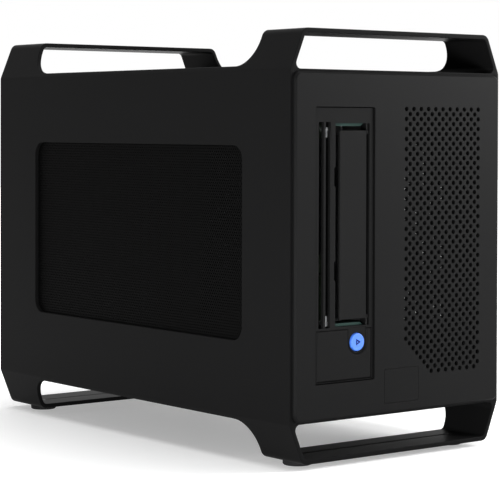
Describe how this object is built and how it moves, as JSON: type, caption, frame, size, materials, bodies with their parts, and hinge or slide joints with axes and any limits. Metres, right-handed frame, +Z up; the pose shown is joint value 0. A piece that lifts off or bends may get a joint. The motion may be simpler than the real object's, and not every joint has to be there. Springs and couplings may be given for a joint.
{
  "type": "desktop tape drive",
  "caption": "Upright desktop tape drive: a metal case with carry handles and mesh side windows, a cartridge mouth with a hinged door, a blue eject button and a vent grille.",
  "frame": {"origin": "middle of the footprint, on the floor under the rubber feet", "axes": "+X to the right seen from the front, +Y from the front towards the rear panel, +Z up"},
  "size_m": [0.154, 0.2995, 0.235],
  "materials": {
    "case_paint": "satin powder coat, dark slate",
    "plate_paint": "satin powder coat, dark slate",
    "mesh_black": "matte black",
    "badge_metal": "dark anodised, bare",
    "rubber": "matte black",
    "steel": "zinc plated",
    "cast": "die cast",
    "drive_plastic": "fine texture, charcoal",
    "door_plastic": "fine texture, charcoal",
    "button_blue": "satin blue",
    "teal": "teal",
    "board": "green solder mask",
    "black_plastic": "black",
    "ivory": "smooth, pale",
    "brass": "turned"
  },
  "bodies": {
    "case": {"outer_shell": "case_paint", "left_mesh": "mesh_black", "right_mesh": "mesh_black", "foot_screws": "steel", "foot_front_left": "rubber", "foot_front_right": "rubber", "foot_rear_left": "rubber", "foot_rear_right": "rubber", "front_plate": "plate_paint", "badge_plate": "badge_metal", "front_frame": "steel", "plate_nuts": "steel", "rear_frame": "steel", "rear_panel": "mesh_black", "rear_screws": "steel", "drive_cradle": "steel", "cradle_screws": "steel", "drive_chassis": "cast", "drive_left_cover": "steel", "drive_right_cover": "steel", "cover_screws": "steel", "drive_bezel": "drive_plastic", "button_panel": "drive_plastic", "front_boards": "board", "slot_clips": "steel", "door_hinge_pins": "steel", "mouth_guides": "teal", "loader_motor": "steel", "reel_motors": "brass", "roller_pins": "steel", "head_guide": "steel", "head_motor": "steel", "threader_rail": "steel", "main_board": "board", "psu_case": "steel", "psu_cover": "steel", "psu_fan_frame": "black_plastic", "psu_board": "board", "power_entry": "black_plastic", "rear_fan_frame": "black_plastic", "bridge_board": "board", "board_bracket": "steel", "data_sockets": "steel", "inner_cables": "black_plastic"},
    "eject_button": {"eject_button": "button_blue"},
    "cartridge_door": {"cartridge_door": "door_plastic"},
    "cartridge_tray": {"cartridge_tray": "steel"},
    "loader_screw": {"loader_screw": "brass"},
    "supply_hub": {"supply_hub": "ivory"},
    "takeup_reel": {"takeup_reel": "ivory"},
    "guide_roller_1": {"guide_roller_1": "ivory"},
    "guide_roller_2": {"guide_roller_2": "ivory"},
    "guide_roller_3": {"guide_roller_3": "ivory"},
    "guide_roller_4": {"guide_roller_4": "ivory"},
    "tape_head": {"tape_head": "cast"},
    "head_screw": {"head_screw": "steel"},
    "threader": {"threader": "black_plastic"},
    "rear_fan_rotor": {"rear_fan_rotor": "black_plastic"},
    "psu_fan_rotor": {"psu_fan_rotor": "black_plastic"},
    "power_rocker": {"power_rocker": "black_plastic"}
  },
  "joints": [
    {"name": "eject_press", "type": "slide", "parent": "case", "child": "eject_button", "axis": [0, 1, 0], "range_m": [0, 0.001], "stiffness_N_per_m": 300, "springref_m": -0.002},
    {"name": "door_swing", "type": "hinge", "parent": "case", "child": "cartridge_door", "pos_m": [-0.02405, -0.14775, 0.1297], "axis": [0, 0, -1], "range_deg": [0, 88], "stiffness_Nm_per_rad": 0.004, "springref_deg": -17.19},
    {"name": "tray_slide", "type": "slide", "parent": "case", "child": "cartridge_tray", "axis": [0, 1, 0], "range_m": [0, 0.035]},
    {"name": "loader_screw_turn", "type": "hinge", "parent": "case", "child": "loader_screw", "pos_m": [-0.03765, -0.06875, 0.0582], "axis": [0, 1, 0], "range_deg": [0, 3151]},
    {"name": "supply_spin", "type": "hinge", "parent": "case", "child": "supply_hub", "pos_m": [0, -0.07405, 0.1298], "axis": [1, 0, 0], "continuous": true},
    {"name": "takeup_spin", "type": "hinge", "parent": "case", "child": "takeup_reel", "pos_m": [0, 0.02125, 0.0972], "axis": [1, 0, 0], "continuous": true},
    {"name": "roller_1_spin", "type": "hinge", "parent": "case", "child": "guide_roller_1", "pos_m": [0, -0.01375, 0.1812], "axis": [1, 0, 0], "continuous": true},
    {"name": "roller_2_spin", "type": "hinge", "parent": "case", "child": "guide_roller_2", "pos_m": [0, 0.00125, 0.1752], "axis": [1, 0, 0], "continuous": true},
    {"name": "roller_3_spin", "type": "hinge", "parent": "case", "child": "guide_roller_3", "pos_m": [0, 0.03725, 0.1752], "axis": [1, 0, 0], "continuous": true},
    {"name": "roller_4_spin", "type": "hinge", "parent": "case", "child": "guide_roller_4", "pos_m": [0, 0.04825, 0.1532], "axis": [1, 0, 0], "continuous": true},
    {"name": "head_slide", "type": "slide", "parent": "case", "child": "tape_head", "axis": [1, 0, 0], "range_m": [-0.003, 0.003]},
    {"name": "head_screw_turn", "type": "hinge", "parent": "case", "child": "head_screw", "pos_m": [0, 0.02525, 0.1702], "axis": [1, 0, 0], "range_deg": [-1081, 1081]},
    {"name": "threader_slide", "type": "slide", "parent": "case", "child": "threader", "axis": [0, 0, -1], "range_m": [0, 0.062]},
    {"name": "rear_fan_spin", "type": "hinge", "parent": "case", "child": "rear_fan_rotor", "pos_m": [0.026, 0.128, 0.127], "axis": [0, 1, 0], "continuous": true},
    {"name": "psu_fan_spin", "type": "hinge", "parent": "case", "child": "psu_fan_rotor", "pos_m": [0.03225, 0, 0.04755], "axis": [0, 1, 0], "continuous": true},
    {"name": "rocker_tilt", "type": "hinge", "parent": "case", "child": "power_rocker", "pos_m": [0.025, 0.13975, 0.04755], "axis": [0, 0, 1], "range_deg": [0, 12]}
  ],
  "couplings": [
    {"joint": "loader_screw_turn", "follows": "tray_slide", "rad_per_m": 1570.8},
    {"joint": "head_screw_turn", "follows": "head_slide", "rad_per_m": 6283.2}
  ]
}
